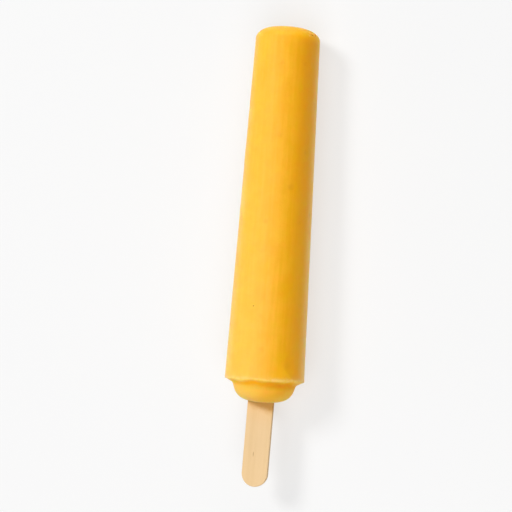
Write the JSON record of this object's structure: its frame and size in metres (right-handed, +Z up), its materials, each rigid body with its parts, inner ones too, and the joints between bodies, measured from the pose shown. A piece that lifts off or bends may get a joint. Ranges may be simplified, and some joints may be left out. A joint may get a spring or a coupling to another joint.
{
  "type": "ice lolly",
  "caption": "Mango-coloured frozen ice lolly, a long tapered round bar with a domed tip and a cup-shaped plug under its rim, on a flat wooden stick.",
  "frame": {"origin": "On the table, under the centre of the lolly's bounding box as it lies.", "axes": "+Z up. +Y along the lolly towards its domed tip, with the stick towards -Y. The stick's flat front faces +Z."},
  "size_m": [0.0302, 0.1746, 0.0299],
  "materials": {
    "ice": "smooth, softly satin frozen fruit puree, slightly translucent",
    "stick": "raw sanded birch, matt"
  },
  "bodies": {
    "root": {"ice": "ice", "stick": "stick"}
  },
  "joints": []
}
